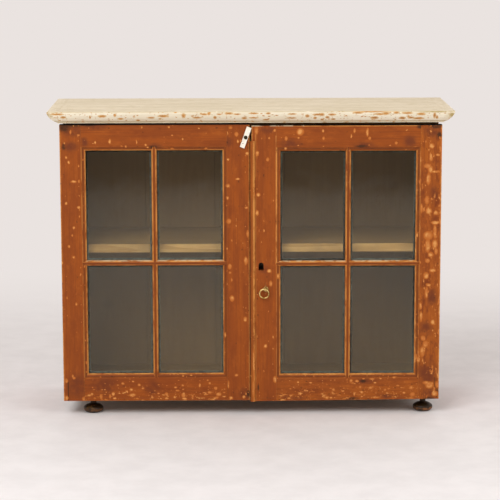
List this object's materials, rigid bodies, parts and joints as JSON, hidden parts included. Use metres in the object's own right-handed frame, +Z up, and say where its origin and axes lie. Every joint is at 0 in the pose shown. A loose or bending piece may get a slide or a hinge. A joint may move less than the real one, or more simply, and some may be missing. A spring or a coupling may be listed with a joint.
{
  "type": "glazed cupboard",
  "caption": "Low painted pine cupboard with two hinged glazed doors, a moulded top, a shelf, bun feet, a turn button, a lock and a ring pull.",
  "frame": {"origin": "on the floor, under the middle of the cupboard's box", "axes": "+X to the right seen from the front, +Y to the back, +Z up; the doors face -Y"},
  "size_m": [1.144, 0.4, 0.88],
  "materials": {
    "door_paint": "chipped rust-brown paint, satin",
    "side_paint": "chipped rust-brown paint, satin",
    "bead_paint": "worn ochre paint, satin",
    "top_paint": "chipped cream paint, matte",
    "bare_pine": "bare aged pine, matte",
    "back_pine": "bare greyed pine, matte",
    "foot_wood": "dark stained wood, satin",
    "glass": "clear window glass",
    "glazing_beads": "painted, matte",
    "button_white": "worn white paint",
    "brass": "tarnished",
    "old_iron": "aged"
  },
  "bodies": {
    "carcass": {"back_board_1": "back_pine", "back_board_2": "back_pine", "back_board_3": "back_pine", "back_board_4": "back_pine", "back_board_5": "back_pine", "bottom_board": "bare_pine", "carcass_nails": "old_iron", "frame_hinge_leaves": "old_iron", "frame_hinge_screws": "old_iron", "front_left_foot": "foot_wood", "front_moulding": "top_paint", "front_right_foot": "foot_wood", "head_rail": "bare_pine", "hinge_pins": "old_iron", "left_moulding": "top_paint", "left_side": "side_paint", "rear_left_foot": "foot_wood", "rear_right_foot": "foot_wood", "right_moulding": "top_paint", "right_side": "side_paint", "shelf": "bare_pine", "shelf_cleats": "bare_pine", "top_front_plank": "top_paint", "top_rear_plank": "top_paint"},
    "left_door": {"inner_bolt_plate": "old_iron", "left_bottom_rail": "door_paint", "left_cross_bars": "door_paint", "left_door_hinge_leaves": "old_iron", "left_door_screws": "old_iron", "left_glazing_beads": "glazing_beads", "left_hinge_stile": "door_paint", "left_lower_inner_pane": "glass", "left_lower_outer_pane": "glass", "left_meeting_stile": "door_paint", "left_top_rail": "door_paint", "left_upper_inner_pane": "glass", "left_upper_outer_pane": "glass", "left_upright_bar": "door_paint", "turn_button_screw": "old_iron"},
    "right_door": {"lock_case": "old_iron", "meeting_bead": "bead_paint", "pull_nut": "brass", "pull_post": "brass", "right_bottom_rail": "door_paint", "right_cross_bars": "door_paint", "right_door_hinge_leaves": "old_iron", "right_door_screws": "old_iron", "right_glazing_beads": "glazing_beads", "right_hinge_stile": "door_paint", "right_lower_inner_pane": "glass", "right_lower_outer_pane": "glass", "right_meeting_stile": "door_paint", "right_top_rail": "door_paint", "right_upper_inner_pane": "glass", "right_upper_outer_pane": "glass", "right_upright_bar": "door_paint"},
    "turn_button": {"turn_button": "button_white"},
    "inner_bolt": {"inner_bolt": "old_iron"},
    "lock_bolt": {"lock_bolt": "old_iron"},
    "pull_ring": {"pull_ring": "brass"}
  },
  "joints": [
    {"name": "left_door_swing", "type": "hinge", "parent": "carcass", "child": "left_door", "pos_m": [-0.5365, -0.14325, 0.44], "axis": [0, 0, -1], "range_deg": [0, 165]},
    {"name": "right_door_swing", "type": "hinge", "parent": "carcass", "child": "right_door", "pos_m": [0.5365, -0.14325, 0.44], "axis": [0, 0, 1], "range_deg": [0, 165]},
    {"name": "turn_button_turn", "type": "hinge", "parent": "left_door", "child": "turn_button", "pos_m": [-0.0151, -0.171, 0.8035], "axis": [0, 1, 0], "range_deg": [-27, 70]},
    {"name": "inner_bolt_slide", "type": "slide", "parent": "left_door", "child": "inner_bolt", "axis": [0, 0, 1], "range_m": [0, 0.013]},
    {"name": "lock_bolt_slide", "type": "slide", "parent": "right_door", "child": "lock_bolt", "axis": [-1, 0, 0], "range_m": [0, 0.014]},
    {"name": "pull_ring_swing", "type": "hinge", "parent": "right_door", "child": "pull_ring", "pos_m": [0.0415, -0.177, 0.368], "axis": [-1, 0, 0], "range_deg": [-10, 180]}
  ]
}
